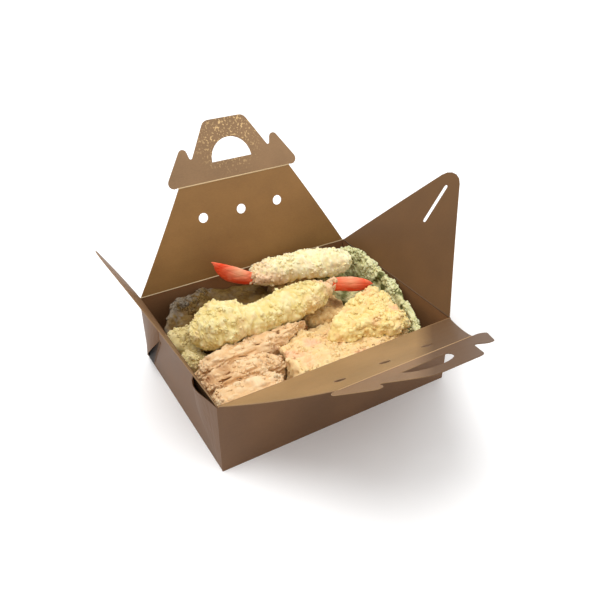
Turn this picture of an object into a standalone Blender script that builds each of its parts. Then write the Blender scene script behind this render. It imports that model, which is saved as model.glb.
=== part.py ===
"""Open kraft carry box filled with tempura, as one model in metres, +Z up.

The origin is the centre of the tray's underside. X runs along the two long
walls, -Y is the front. The board is one creased blank: a tray with web
gussets folded against its short walls, two long flaps that end in handle
panels, and two short triangular flaps. The food is a lower layer that stands
on the tray's floor and two battered prawns, a fritter and a leaf over it.
Neighbouring pieces are kept apart by shared cutting planes, one on each side
of a small gap.
"""

import math

import bmesh
import bpy
import numpy as np
from mathutils import Vector
from mathutils.geometry import delaunay_2d_cdt

MM = 0.001                       # every length below is in millimetres

# ---------------------------------------------------------------- the board
TRAY_LENGTH = 190.0
TRAY_WIDTH = 143.7
RIM = 57.6                       # height of the flap creases above the table
BOARD = 0.5
WALL_TOP_GAP = 0.35              # wall's edge below the crease line
CREASE_GAP = 0.45                # panel's edge away from its crease line

FLAP_DEPTH = 77.0                # long flap, from its crease to the handle's
RIDGE_HALF = 48.5                # half the crease between flap and handle
VENT_RADIUS = 4.0
VENT_SPACING = 33.0
VENT_DEPTH = 50.5                # vents' distance from the rim crease

SIDE_APEX = 104.7                # short flap, to where its edges would meet
SIDE_TIP_RADIUS = 12.5
SLOT_START = 50.0
SLOT_END = 84.0
SLOT_WIDTH = 3.2

HANDLE_TOP = 46.0
GRIP_RADIUS = 17.0
GRIP_BASE = 14.0                 # straight edge of the D-shaped grip hole

BACK_ANGLE = 78.0                # each flap above the outward horizontal
FRONT_ANGLE = 33.0
LEFT_ANGLE = 65.0
RIGHT_ANGLE = 54.4
BACK_HANDLE_FOLD = 11.0          # handle folded outwards from its flap
FRONT_HANDLE_FOLD = 0.0
PANEL_BOW = 1.4                  # rise in the middle of a bent panel

GUSSET_REACH = 0.26 * TRAY_WIDTH
GUSSET_DROP = 0.69 * RIM         # far edge of a gusset starts this high
GUSSET_BOW = 4.4                 # front webs stand off this far at the rim
REAR_GUSSET_BOW = 5.5            # rear webs stand off this far at their low edge
GUSSET_DIP = 3.0                 # sag of a rear web's low edge

PANEL_STEP = 13.0                # spacing of the panels' mesh points
ARC_STEP = 30.0                  # degrees of turn for each point of an arc

# ----------------------------------------------------------------- the food
GAP = 0.35                       # clearance between two solids
FLOOR_TOP = BOARD + GAP
WALL_X = TRAY_LENGTH / 2 - BOARD - GAP
WALL_Y = TRAY_WIDTH / 2 - BOARD - GAP
PRAWN_REST = 46.0                # level the front prawn lies on
REAR_REST = 47.0                 # level the rear prawn lies on
CRAG_SIZE = 9.0                  # distance between lumps of batter
CRAG_HEIGHT = 1.6

KRAFT = (0.31, 0.19, 0.11)
BATTER = (0.86, 0.74, 0.36)
PEACH = (0.80, 0.56, 0.33)
TAIL_RED = (0.80, 0.08, 0.02)
LEAF_GREEN = (0.40, 0.45, 0.20)
OLIVE = (0.36, 0.33, 0.10)
BROWN = (0.26, 0.19, 0.09)


def clear_scene():
    """Remove every object of the open file."""
    for thing in list(bpy.data.objects):
        bpy.data.objects.remove(thing, do_unlink=True)


def material(name, colour, roughness):
    """A plain Principled material."""
    made = bpy.data.materials.new(name)
    made.use_nodes = True
    shader = made.node_tree.nodes["Principled BSDF"]
    shader.inputs["Base Color"].default_value = (*colour, 1.0)
    shader.inputs["Roughness"].default_value = roughness
    shader.inputs["Metallic"].default_value = 0.0
    return made


def mesh_object(name, points, faces, finish):
    """One named object from points in millimetres, with its faces outwards."""
    mesh = bpy.data.meshes.new(name)
    mesh.from_pydata((np.asarray(points) * MM).tolist(), [], faces)
    mesh.materials.append(finish)
    work = bmesh.new()
    work.from_mesh(mesh)
    bmesh.ops.triangulate(work, faces=work.faces[:])
    bmesh.ops.recalc_face_normals(work, faces=work.faces[:])
    work.to_mesh(mesh)
    work.free()
    made = bpy.data.objects.new(name, mesh)
    bpy.context.collection.objects.link(made)
    return made


# ------------------------------------------------------------ board outlines
def rounded_outline(corners):
    """A closed outline from (u, v, radius) corners; each radius is an arc."""
    points = []
    for index, (u, v, radius) in enumerate(corners):
        here = np.array([u, v])
        before = np.array(corners[index - 1][:2]) - here
        after = np.array(corners[(index + 1) % len(corners)][:2]) - here
        if radius == 0.0:
            points.append(here)
            continue
        before /= np.linalg.norm(before)
        after /= np.linalg.norm(after)
        half = math.acos(np.clip(before @ after, -1.0, 1.0)) / 2
        middle = before + after
        centre = here + middle / np.linalg.norm(middle) * radius / math.sin(half)
        start = here + before * radius / math.tan(half) - centre
        end = here + after * radius / math.tan(half) - centre
        turn = math.pi - 2 * half
        if start[0] * end[1] - start[1] * end[0] < 0:
            turn = -turn
        steps = max(2, round(abs(math.degrees(turn)) / ARC_STEP) + 1)
        for angle in np.linspace(0.0, turn, steps + 1):
            c, s = math.cos(angle), math.sin(angle)
            points.append(centre + np.array([c * start[0] - s * start[1],
                                             s * start[0] + c * start[1]]))
    return points


def split_long_edges(points, longest):
    """The same outline with every straight edge cut into short pieces."""
    result = []
    for index, here in enumerate(points):
        after = points[(index + 1) % len(points)]
        pieces = max(1, math.ceil(np.linalg.norm(after - here) / longest))
        result.extend(here + (after - here) * k / pieces for k in range(pieces))
    return result


def mirrored(corners):
    """Corners of the right half followed by those of the left half."""
    return corners + [(-u, v, radius) for u, v, radius in reversed(corners)]


def long_flap_outline():
    """Trapezoid from the rim crease to the handle crease."""
    base = TRAY_LENGTH / 2 - 1.0
    return rounded_outline(mirrored([(base, CREASE_GAP, 0.0),
                                     (RIDGE_HALF, FLAP_DEPTH - CREASE_GAP, 0.0)]))


def side_flap_outline():
    """Triangle with a round tip."""
    base = TRAY_WIDTH / 2 - 1.0
    corners = [(base, CREASE_GAP, 0.0), (0.0, SIDE_APEX, SIDE_TIP_RADIUS),
               (-base, CREASE_GAP, 0.0)]
    return rounded_outline(corners)


def handle_outline():
    """Handle panel: two hooked wings, then a body that narrows to its top."""
    right = [(RIDGE_HALF, CREASE_GAP, 0.0),
             (61.5, -3.2, 4.5),          # lobe beyond the end of the crease
             (37.5, 33.0, 3.5),          # tip of the hooked wing
             (34.0, 17.0, 1.4),          # notch between wing and body
             (17.0, HANDLE_TOP, 6.5)]
    return rounded_outline(mirrored(right))


def circle(u, v, radius, start=0.0, end=360.0, count=12):
    """Points on an arc; a full turn leaves out the repeated last point."""
    whole = end - start >= 360.0
    angles = np.radians(np.linspace(start, end, count + 1))
    angles = angles[:-1] if whole else angles
    return [np.array([u + radius * math.cos(a), v + radius * math.sin(a)]) for a in angles]


def grip_hole():
    """D-shaped hole: a straight lower edge and a round top."""
    return circle(0.0, GRIP_BASE, GRIP_RADIUS, 0.0, 180.0, 12)


def slot_hole():
    """Slot on the centre line of a short flap, with round ends."""
    radius = SLOT_WIDTH / 2
    lower = circle(0.0, SLOT_START + radius, radius, 180.0, 360.0, 4)
    upper = circle(0.0, SLOT_END - radius, radius, 0.0, 180.0, 4)
    return lower + upper


def vent_holes():
    """Three round vents in a row."""
    return [circle(k * VENT_SPACING, VENT_DEPTH, VENT_RADIUS) for k in (-1, 0, 1)]


# --------------------------------------------------------------- board panels
def inside(points, loop):
    """Which points lie inside a closed loop, by counting edge crossings."""
    x, y = points[:, 0], points[:, 1]
    result = np.zeros(len(points), bool)
    for (x0, y0), (x1, y1) in zip(loop, np.roll(loop, -1, axis=0)):
        if y0 == y1:
            continue
        crosses = (y0 > y) != (y1 > y)
        result ^= crosses & (x < (x1 - x0) * (y - y0) / (y1 - y0) + x0)
    return result


def flat_panel(outline, holes):
    """Triangles of a flat outline with holes: points and faces."""
    outline = split_long_edges(outline, PANEL_STEP)
    holes = [split_long_edges(hole, PANEL_STEP) for hole in holes]
    loops = [np.array(loop) for loop in [outline] + holes]
    low, high = loops[0].min(axis=0), loops[0].max(axis=0)
    columns = np.arange(low[0] + PANEL_STEP / 2, high[0], PANEL_STEP)
    rows = np.arange(low[1] + PANEL_STEP / 2, high[1], PANEL_STEP)
    grid = np.array([(u, v) for v in rows for u in columns])
    border = np.vstack(loops)
    far = np.linalg.norm(grid[:, None] - border[None], axis=2).min(axis=1) > PANEL_STEP / 3
    keep = inside(grid, loops[0]) & far
    for hole in loops[1:]:
        keep &= ~inside(grid, hole)
    edges, start = [], 0
    for loop in loops:
        count = len(loop)
        edges.extend((start + k, start + (k + 1) % count) for k in range(count))
        start += count
    points = np.vstack([border, grid[keep]])
    found = delaunay_2d_cdt([Vector(p) for p in points], edges, [], 0, 1e-6)
    flat = np.array([tuple(p) for p in found[0]])
    faces = np.array(found[2])
    centres = flat[faces].mean(axis=1)
    good = inside(centres, loops[0])
    for hole in loops[1:]:
        good &= ~inside(centres, hole)
    return flat, faces[good]


def thick_panel(flat, faces, place):
    """Give a flat panel its thickness; place maps (u, v, w) to the box."""
    count = len(flat)
    top = place(flat[:, 0], flat[:, 1], np.full(count, BOARD / 2))
    under = place(flat[:, 0], flat[:, 1], np.full(count, -BOARD / 2))
    uses = {edge for a, b, c in faces for edge in ((a, b), (b, c), (c, a))}
    sides = [(b, a, a + count, b + count) for a, b in uses if (b, a) not in uses]
    solid = [tuple(int(k) for k in f) for f in faces]
    solid += [tuple(int(k) + count for k in f[::-1]) for f in faces]
    solid += [tuple(int(k) for k in side) for side in sides]
    return np.vstack([top, under]), solid


def panel_placer(origin, along, away, depth, bow):
    """Map (u, v, w) of a panel to the box, bent by bow over its depth."""
    origin, along, away = (np.array(v, float) for v in (origin, along, away))
    outwards = np.cross(along, away)

    def place(u, v, w):
        across = np.clip(v / depth, 0.0, 1.0)
        rise = bow * 4 * across * (1 - across)
        return origin + np.outer(u, along) + np.outer(v, away) + np.outer(w + rise, outwards)
    return place


def hinge_origin(name):
    """Middle of each rim crease, on the middle plane of its wall."""
    y = TRAY_WIDTH / 2 - BOARD / 2
    x = TRAY_LENGTH / 2 - BOARD / 2
    return {"back": (0, y, RIM), "front": (0, -y, RIM),
            "left": (-x, 0, RIM), "right": (x, 0, RIM)}[name]


def leaning(direction, angle):
    """Unit vector raised by angle degrees from a level direction."""
    tilt = math.radians(angle)
    level = np.array(direction, float)
    return level * math.cos(tilt) + np.array([0, 0, 1.0]) * math.sin(tilt)


def board_panels(finish):
    """The four flaps and the two handle panels at their resting angles."""
    long_flap = flat_panel(long_flap_outline(), vent_holes())
    handle = flat_panel(handle_outline(), [grip_hole()])
    side_flap = flat_panel(side_flap_outline(), [slot_hole()])
    rows = (("back", (0, 1, 0), (-1, 0, 0), BACK_ANGLE, BACK_HANDLE_FOLD, -PANEL_BOW),
            ("front", (0, -1, 0), (1, 0, 0), FRONT_ANGLE, FRONT_HANDLE_FOLD, PANEL_BOW))
    for name, level, along, angle, fold, bow in rows:
        away = leaning(level, angle)
        origin = np.array(hinge_origin(name))
        place = panel_placer(origin, along, away, FLAP_DEPTH, bow)
        mesh_object(name + "_flap", *thick_panel(*long_flap, place), finish)
        ridge = origin + away * FLAP_DEPTH
        beyond = leaning(level, angle - fold)
        place = panel_placer(ridge, along, beyond, HANDLE_TOP, bow / 4)
        mesh_object(name + "_handle", *thick_panel(*handle, place), finish)
    for name, level, along, angle in (("left", (-1, 0, 0), (0, -1, 0), LEFT_ANGLE),
                                      ("right", (1, 0, 0), (0, 1, 0), RIGHT_ANGLE)):
        place = panel_placer(hinge_origin(name), along, leaning(level, angle),
                             SIDE_APEX, -PANEL_BOW / 2)
        mesh_object(name + "_flap", *thick_panel(*side_flap, place), finish)


# ---------------------------------------------------------------------- tray
def open_box():
    """Floor and four upright walls as one shell."""
    points, faces = [], []
    high = RIM - WALL_TOP_GAP
    for inset, level in ((0, 0), (0, high), (BOARD, high), (BOARD, BOARD)):
        x, y = TRAY_LENGTH / 2 - inset, TRAY_WIDTH / 2 - inset
        points += [(-x, -y, level), (x, -y, level), (x, y, level), (-x, y, level)]
    for ring in range(3):
        for k in range(4):
            a, b = ring * 4 + k, ring * 4 + (k + 1) % 4
            faces.append((a, b, b + 4, a + 4))
    faces.append((3, 2, 1, 0))
    faces.append((12, 13, 14, 15))
    return points, faces


def gusset(side_x, side_y):
    """Web of board folded on a short wall, bowed at the rim or at its low edge."""
    columns, rows = 9, 4
    share = np.linspace(0.0, 1.0, columns)
    high = RIM - WALL_TOP_GAP
    layers = []
    for thickness in (0.0, BOARD):
        a, b = np.meshgrid(share, np.linspace(0.0, 1.0, rows), indexing="ij")
        low = GUSSET_DROP * a + 0.4
        if side_y > 0:
            low = low - GUSSET_DIP * np.sin(np.pi * a ** 1.4)
        z = low + (high - low) * b
        lift = 0.45 * np.clip(np.minimum(a, 1 - a) * 9, 0, 1)
        if side_y > 0:
            bulge = REAR_GUSSET_BOW * np.sin(np.pi * a ** 1.4) * (1 - 0.9 * b)
        else:
            bulge = GUSSET_BOW * np.sin(np.pi * a ** 1.6) * (z / RIM) ** 1.5
        x = TRAY_LENGTH / 2 - 0.15 + lift + bulge + thickness
        y = TRAY_WIDTH / 2 - 0.01 - GUSSET_REACH * a
        layers.append(np.stack([side_x * x, side_y * y, z], axis=-1).reshape(-1, 3))
    return np.vstack(layers), sheet_faces(columns, rows)


def sheet_faces(columns, rows):
    """Triangles of two parallel grids, split alike, and quads between their borders."""
    count = columns * rows
    faces = []
    for i in range(columns - 1):
        for j in range(rows - 1):
            a, b = i * rows + j, (i + 1) * rows + j
            for corners in ((a, b, b + 1), (a, b + 1, a + 1)):
                faces.append(corners)
                faces.append(tuple(k + count for k in reversed(corners)))
    border = [i * rows for i in range(columns)]
    border += [(columns - 1) * rows + j for j in range(1, rows)]
    border += [i * rows + rows - 1 for i in reversed(range(columns - 1))]
    border += list(reversed(range(1, rows - 1)))
    for a, b in zip(border, border[1:] + border[:1]):
        faces.append((a, a + count, b + count, b))
    return faces


def tray(finish):
    """The shell with its four gussets joined on by Boolean unions."""
    body = mesh_object("tray", *open_box(), finish)
    for side_x in (-1, 1):
        for side_y in (-1, 1):
            web = mesh_object("gusset_cutter", *gusset(side_x, side_y), finish)
            join = body.modifiers.new("union", "BOOLEAN")
            join.operation = "UNION"
            join.object = web
            bpy.context.view_layer.update()
            depsgraph = bpy.context.evaluated_depsgraph_get()
            merged = bpy.data.meshes.new_from_object(body.evaluated_get(depsgraph))
            body.modifiers.clear()
            body.data = merged
            bpy.data.objects.remove(web, do_unlink=True)
    body.data.name = "tray"


# ---------------------------------------------------------------- food forms
def lumps(points, size, seed):
    """Smooth value noise from -1 to 1 with one random value every size mm."""
    table = np.random.default_rng(seed).uniform(-1, 1, (16, 16, 16))
    q = np.asarray(points) / size + 160.0
    whole = np.floor(q).astype(int)
    part = q - whole
    part = part * part * (3 - 2 * part)
    total = 0.0
    for corner in np.ndindex(2, 2, 2):
        weight = 1.0
        for axis in range(3):
            weight = weight * (part[..., axis] if corner[axis] else 1 - part[..., axis])
        index = [(whole[..., axis] + corner[axis]) % 16 for axis in range(3)]
        total = total + weight * table[index[0], index[1], index[2]]
    return total


def crags(points, seed, height=CRAG_HEIGHT, stretch=(1, 1, 1)):
    """Batter relief: two sizes of lumps, along stretched axes if wanted."""
    q = np.asarray(points) / np.array(stretch, float)
    return height * (lumps(q, CRAG_SIZE, seed) + 0.6 * lumps(q, CRAG_SIZE / 2, seed + 1))


def cut(points, planes):
    """Push points that lie beyond a plane back onto it.

    A plane is (a, b, c, d): what stays has a x + b y + c z <= d.
    """
    for _ in range(2):
        for a, b, c, d in planes:
            normal = np.array([a, b, c], float)
            length = np.linalg.norm(normal)
            beyond = np.maximum(0.0, (points @ normal - d) / length)
            points = points - beyond[..., None] * normal / length
    return points


def tray_planes():
    """The inside of the tray as cutting planes."""
    return [(1, 0, 0, WALL_X), (-1, 0, 0, WALL_X), (0, 1, 0, WALL_Y), (0, -1, 0, WALL_Y),
            (0, 0, -1, -FLOOR_TOP)]


def curve_through(knots, at):
    """Catmull-Rom curve through evenly numbered knots, at values 0 to 1."""
    knots = np.asarray(knots, float)
    padded = np.vstack([2 * knots[0] - knots[1], knots, 2 * knots[-1] - knots[-2]])
    s = np.clip(at, 0, 1) * (len(knots) - 1)
    k = np.minimum(s.astype(int), len(knots) - 2)
    t = (s - k)[:, None]
    p0, p1, p2, p3 = (padded[k + j] for j in range(4))
    return 0.5 * (2 * p1 + (p2 - p0) * t + (2 * p0 - 5 * p1 + 4 * p2 - p3) * t ** 2
                  + (3 * p1 - p0 - 3 * p2 + p3) * t ** 3)


def roll(knots, rings, sides, square=1.0, blunt=0.5):
    """Closed body along a path of (x, y, z, half width, half height) knots.

    Its section is a superellipse, and its ends close in quarter circles.
    """
    phase = np.linspace(-np.pi / 2, np.pi / 2, rings)
    at = (np.sin(phase) + 1) / 2
    at[1:-1] = at[1:-1] * 0.6 + np.linspace(0, 1, rings)[1:-1] * 0.4
    shape = curve_through(knots, at)
    taper = np.clip(1 - np.abs(2 * at - 1) ** (1 / blunt * 2), 0, 1) ** 0.5
    tangent = np.gradient(shape[:, :3], axis=0)
    tangent /= np.linalg.norm(tangent, axis=1)[:, None]
    side = np.cross(tangent, [0, 0, 1.0])
    side /= np.linalg.norm(side, axis=1)[:, None]
    upright = np.cross(side, tangent)
    angle = np.linspace(0, 2 * np.pi, sides, endpoint=False)
    c = np.sign(np.cos(angle)) * np.abs(np.cos(angle)) ** square
    s = np.sign(np.sin(angle)) * np.abs(np.sin(angle)) ** square
    wide = (shape[:, 3] * taper)[:, None, None] * side[:, None, :] * c[None, :, None]
    tall = (shape[:, 4] * taper)[:, None, None] * upright[:, None, :] * s[None, :, None]
    return shape[:, None, :3] + wide + tall


def mound(outline, base, crown, rings, sides, edge=6.0):
    """Closed body over a plan outline, from a level base to a crown surface.

    outline is a list of (x, y) corners joined by a smooth closed curve, and
    crown gives the height at arrays x, y. The rim is rounded over by edge.
    """
    corners = np.asarray(outline, float)
    centre = corners.mean(axis=0)
    wrapped = np.vstack([corners, corners[:1]])
    at = np.linspace(0, 1, sides, endpoint=False)
    s = at * len(corners)
    k = s.astype(int)
    t = (s - k)[:, None]
    loop = wrapped[k] * (1 - t) + wrapped[k + 1] * t
    for _ in range(2):
        loop = (np.roll(loop, 1, axis=0) + 2 * loop + np.roll(loop, -1, axis=0)) / 4
    reach = np.linalg.norm(loop - centre, axis=1)
    lower = [(0.6, 0.0), (0.93, 0.0), (1.0, 0.08), (1.0, 0.5)]
    inward = np.linspace(0, 1, rings)[:-1] ** 0.9
    rows = lower + [(1.0, 0.8)] + [(1 - q, 1.0) for q in inward]
    layers = []
    for share, rise in rows:
        xy = centre + (loop - centre) * share
        top = crown(xy[:, 0], xy[:, 1])
        inset = (1 - share) * reach
        drop = edge * (1 - np.sqrt(np.clip(1 - (1 - np.clip(inset / edge, 0, 1)) ** 2, 0, 1)))
        z = base + (top - drop - base) * rise
        layers.append(np.stack([xy[:, 0], xy[:, 1], z], axis=-1))
    first = np.broadcast_to([centre[0], centre[1], base], layers[0].shape)
    peak = crown(centre[:1], centre[1:])[0]
    last = np.broadcast_to([centre[0], centre[1], peak], layers[0].shape)
    return np.stack([first] + layers + [last])


def swell(grid, amount):
    """Move each point of a closed grid along its own surface normal."""
    along = np.gradient(grid, axis=0)
    around = (np.roll(grid, -1, axis=1) - np.roll(grid, 1, axis=1)) / 2
    normal = np.cross(around, along)
    length = np.linalg.norm(normal, axis=-1, keepdims=True)
    normal = normal / np.maximum(length, 1e-9)
    centre = grid.reshape(-1, 3).mean(axis=0)
    if np.sum(normal * (grid - centre)) < 0:
        normal = -normal
    moved = grid + normal * amount[..., None]
    moved[0], moved[-1] = moved[0].mean(axis=0), moved[-1].mean(axis=0)
    return moved


def grid_body(name, grid, finish):
    """Object from rings of points; the first and last ring are one point."""
    rings, sides = grid.shape[:2]
    points = np.vstack([grid[:1, 0], grid[1:-1].reshape(-1, 3), grid[-1:, 0]])
    last = len(points) - 1
    faces = []
    for k in range(sides):
        after = (k + 1) % sides
        faces.append((0, 1 + after, 1 + k))
        end = 1 + (rings - 3) * sides
        faces.append((last, end + k, end + after))
        for ring in range(rings - 3):
            a = 1 + ring * sides
            faces.append((a + k, a + after, a + sides + after, a + sides + k))
    return mesh_object(name, points, faces, finish)


# ---------------------------------------------------------- the pieces of food
# Each pair of neighbours shares a plane; the second of the pair keeps GAP away.
UNDER_FRITTER = (0.0, 0.17, 1.0)         # slanting bed of the upper fritter
BED = 39.8                               # UNDER_FRITTER . point on that bed
LEAF_SIDE = (1.0, -0.2535, 0.0)          # upright plane beside the leaf
LEAF_EDGE = 82.0
LUMP_SIDE = (-0.35, 0.75, -0.55)         # between the front prawn and the lump
LUMP_EDGE = 8.0
STICK_SIDE = (0.0, 0.8, 0.6)             # between the first stick and the prawn
STICK_EDGE = 21.2
SLICE_SIDE = (0.6, 0.0, 0.8)             # between the slice's end and the prawn
SLICE_EDGE = -10.6
LEAF_LEAN = 2.0                          # foot of the leaf, inwards of its top
FLAKY_SIDE = (0.976, -0.22, 0.0)         # between the sticks' ends and the fritter
FLAKY_EDGE = -19.5
STEP_SIDE = (-0.496, 0.868, 0.0)         # between the first stick and the fritter
STEP_EDGE = -13.3


def other_side(plane, edge):
    """The half space across a shared plane, GAP away from it."""
    return tuple(-v for v in plane) + (-(edge + GAP),)


def prawn(name, knots, planes, seed, finish, knob=None):
    """Battered prawn: a craggy roll, cut where it lies on others and at its tail.

    A knob of extra batter is (x, y, z, radius, height).
    """
    grid = roll(knots, 26, 18, square=0.95)
    relief = crags(grid, seed)
    if knob:
        away = np.linalg.norm(grid - np.array(knob[:3]), axis=-1)
        relief += knob[4] * np.exp(-(away / knob[3]) ** 2)
    grid = swell(grid, relief)
    grid_body(name, cut(grid, tray_planes() + planes), finish)


def tail(name, knots, planes, finish):
    """Prawn tail: a flat blade, broadest past its middle, with a blunt end."""
    grid = roll(knots, 14, 14, square=1.0, blunt=0.45)
    grid_body(name, cut(grid, planes), finish)


def stick(name, knots, planes, seed, finish):
    """Long flaky piece that stands on the floor."""
    grid = roll(knots, 22, 18, square=0.55, blunt=0.3)
    grid = swell(grid, crags(grid, seed, 1.3, (2.2, 0.8, 1)))
    grid_body(name, cut(grid, tray_planes() + planes), finish)


def chunk(name, outline, crown, planes, seed, finish, rings=8, sides=30, height=CRAG_HEIGHT):
    """Lower-layer piece from the floor to a craggy crown."""
    grid = mound(outline, FLOOR_TOP, crown, rings, sides)
    grid = swell(grid, crags(grid, seed, height) * (grid[..., 2] > 20))
    grid_body(name, cut(grid, tray_planes() + planes), finish)


def level(height):
    """Crown of one height everywhere."""
    return lambda x, y: np.full_like(x, height)


def leaf_surface(columns, rows):
    """Battered leaf leaning along the right wall: its middle surface."""
    top = np.array([(80, 55, 57.5), (87, 52, 60.5), (90.5, 39, 61.5), (90.5, 23, 60.5),
                    (90, 6, 58.5), (88.5, -10, 56.5), (85, -29, 53.5), (81.5, -42, 51.5),
                    (77, -55, 50), (72.5, -66, 48.5)], float)
    edge = curve_through(top, np.linspace(0, 1, columns))
    b = np.linspace(0, 1, rows)[None, :, None]
    foot = np.stack([edge[:, 0] - LEAF_LEAN, edge[:, 1], np.full(columns, FLOOR_TOP)], axis=-1)
    return edge[:, None, :] * (1 - b) + foot[:, None, :] * b


def leaf(name, seed, finish):
    """The leaf's middle surface with its thickness and a wavy relief."""
    columns, rows = 22, 9
    middle = leaf_surface(columns, rows)
    across = np.cross(np.gradient(middle, axis=0), np.gradient(middle, axis=1))
    across /= np.linalg.norm(across, axis=-1, keepdims=True)
    near_top = np.clip((middle[..., 2] - 40.0) / 12.0, 0, 1)
    half = 2.2 + 1.2 * near_top + 0.8 * lumps(middle, CRAG_SIZE, seed)
    wave = 0.9 * lumps(middle, 16.0, seed + 1)
    sheets = [middle + across * (wave + s * half)[..., None] for s in (-1, 1)]
    points = np.vstack([sheet.reshape(-1, 3) for sheet in sheets])
    points = cut(points, tray_planes())
    mesh_object(name, points, sheet_faces(columns, rows), finish)


def food():
    """All the pieces of food, lower layer first."""
    batter = material("pale_batter", BATTER, 0.7)
    peach = material("flaky_batter", PEACH, 0.7)
    red = material("prawn_tail", TAIL_RED, 0.3)
    green = material("leaf_batter", LEAF_GREEN, 0.7)
    olive = material("vegetable_slice", OLIVE, 0.55)
    brown = material("aubergine_slice", BROWN, 0.55)

    under_front = (0, 0, 1, PRAWN_REST - GAP)
    leaf_left = LEAF_SIDE + (LEAF_EDGE,)

    # Back left corner: a broad slice whose crusted edge stands up at the walls.
    def slice_crown(x, y):
        inwards = 86.0 + 0.607 * x - 0.794 * y
        return 44.0 + 12.5 * np.clip(1 - inwards / 17, 0, 1)
    chunk("broad_slice", [(-94, 30), (-87, 41), (-72, 58), (-58, 65), (-42, 71), (-18, 72),
                          (8, 71), (8, 50), (8, 29), (-35, 29), (-66, 29), (-80, 29)],
          slice_crown, [(0, -1, 0, -29.2), (1, 0, 0, 8.0)], 11, olive, 8, 30, 2.0)

    # Under the front prawn.
    chunk("hidden_slice", [(-66, 28), (-30, 28), (7, 28), (7, 8), (7, -10), (-30, -10),
                           (-66, -10), (-66, 9)],
          lambda x, y: np.where(y > 14, 39.0, 45.0), [(0, 1, 0, 28.8), (1, 0, 0, 8.0),
                                                      (0, -1, 0, 11.6), (-1, 0, 0, 67.0),
                                                      under_front], 12, olive, 7, 20, 0.8)

    # Under the prawns' right-hand ends.
    chunk("aubergine_slice", [(9, 66), (30, 66), (49, 66), (50, 30), (50, -10), (30, -11),
                              (9, -10), (9, 30)],
          level(45.0), [(-1, 0, 0, -8.4), (1, 0, 0, 50.4), (0, -1, 0, 11.6), under_front],
          13, brown, 7, 24, 0.9)
    chunk("green_slice", [(52, 66), (66, 66), (74, 60), (76, 30), (74, 0), (72, -11),
                          (62, -11), (52, -10), (52, 30)],
          level(46.0), [(-1, 0, 0, -50.8), (0, -1, 0, 11.6), under_front, leaf_left],
          14, green, 7, 24, 1.2)

    # Left wall: a smooth lump and a slice's end.
    chunk("pale_lump", [(-92, 27), (-80, 27.5), (-69, 27), (-68.5, 16), (-69, 6), (-80, 5.5),
                        (-92, 6), (-94, 16)],
          lambda x, y: 55.0 - 0.012 * ((x + 82) ** 2 + (y - 17) ** 2),
          [(0, 1, 0, 28.8), (0, -1, 0, -5.0), (1, 0, 0, -67.4),
           other_side(LUMP_SIDE, LUMP_EDGE)], 15, batter, 7, 22, 0.7)
    chunk("slice_end", [(-92, 3.5), (-80, 4), (-69, 3.5), (-68.5, -4), (-69, -11), (-80, -11.5),
                        (-92, -11)],
          level(50.5), [(0, 1, 0, 4.6), (0, -1, 0, 11.6), (1, 0, 0, -67.4),
                        SLICE_SIDE + (SLICE_EDGE,)], 16, olive, 6, 18, 0.5)

    # Front left: three flaky sticks side by side.
    stick("stick_1", [(-92, -20.5, 28, 9, 27), (-50, -20, 28, 10, 28),
                      (-10, -19, 28, 10, 28), (8, -16, 27, 9, 27)],
          [(0, 1, 0, -12.0), (0, -1, 0, 29.4), STICK_SIDE + (STICK_EDGE,),
           other_side(STEP_SIDE, STEP_EDGE)], 21, peach)
    stick("stick_2", [(-93.5, -38, 27, 8, 26), (-65, -38.5, 27, 9, 27.5),
                      (-26, -39, 26.5, 8.5, 26)],
          [(0, 1, 0, -29.8), (0, -1, 0, 47.4), FLAKY_SIDE + (FLAKY_EDGE,)], 22, peach)
    stick("stick_3", [(-94, -59, 27, 11.5, 26), (-68, -59.5, 27, 12, 27),
                      (-36, -58, 26, 10.5, 25)],
          [(0, 1, 0, -47.8), FLAKY_SIDE + (FLAKY_EDGE,)], 23, peach)

    # Front: the lower fritter, and the upper one across it.
    fritter_lower(batter)
    fritter_upper(batter)

    # On top: the two prawns with their tails, and the leaf.
    prawn("prawn_front", [(-82, 2, 58.5, 10, 11), (-68, 1.5, 59.5, 15, 14.5),
                          (-52, 2, 60, 15.5, 15), (-33, -2, 58.5, 12.5, 12.5),
                          (-6, 0.5, 59, 13.5, 13.5), (20, 4, 59.5, 12, 12),
                          (46, 9, 60, 8.5, 8.5)],
          [(0, 0, -1, -PRAWN_REST), (0.93, -0.37, 0, 34.7), LUMP_SIDE + (LUMP_EDGE,),
           other_side(STICK_SIDE, STICK_EDGE), other_side(SLICE_SIDE, SLICE_EDGE)], 41, batter,
          (-58, 15, 66, 11, 5.0))
    prawn("prawn_rear", [(-14, 51, 59.5, 7, 7), (6, 54, 58.5, 10.5, 10.5),
                         (30, 51, 58.5, 11, 11), (50, 46, 58.5, 12, 12),
                         (68, 40.5, 58, 12, 11.5), (81, 36, 57.5, 9.5, 9.5)],
          [(0, 0, -1, -REAR_REST), (-0.95, 0, 0.31, 24.4)], 42, batter)
    tail("tail_front", [(34, 8.8, 61.5, 3.8, 5.2), (48, 5.4, 60.9, 3.4, 6.2), (61, 0.6, 58.8, 2.9, 6.4),
                        (72.5, -4.8, 58.2, 1.6, 3.4)],
         [(-0.93, 0.37, 0, -(34.7 + GAP)), (0, -1, 0, 8.6)], red)
    tail("tail_rear", [(-2, 51.5, 55.5, 3.6, 4.9), (-14, 52, 61.8, 3.4, 6.1),
                       (-25.5, 55, 67.6, 2.9, 7.0), (-38.5, 60, 78.6, 1.5, 3.0)],
         [(0.95, 0, -0.31, -(24.4 + GAP))], red)
    leaf("leaf", 51, green)


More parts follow.
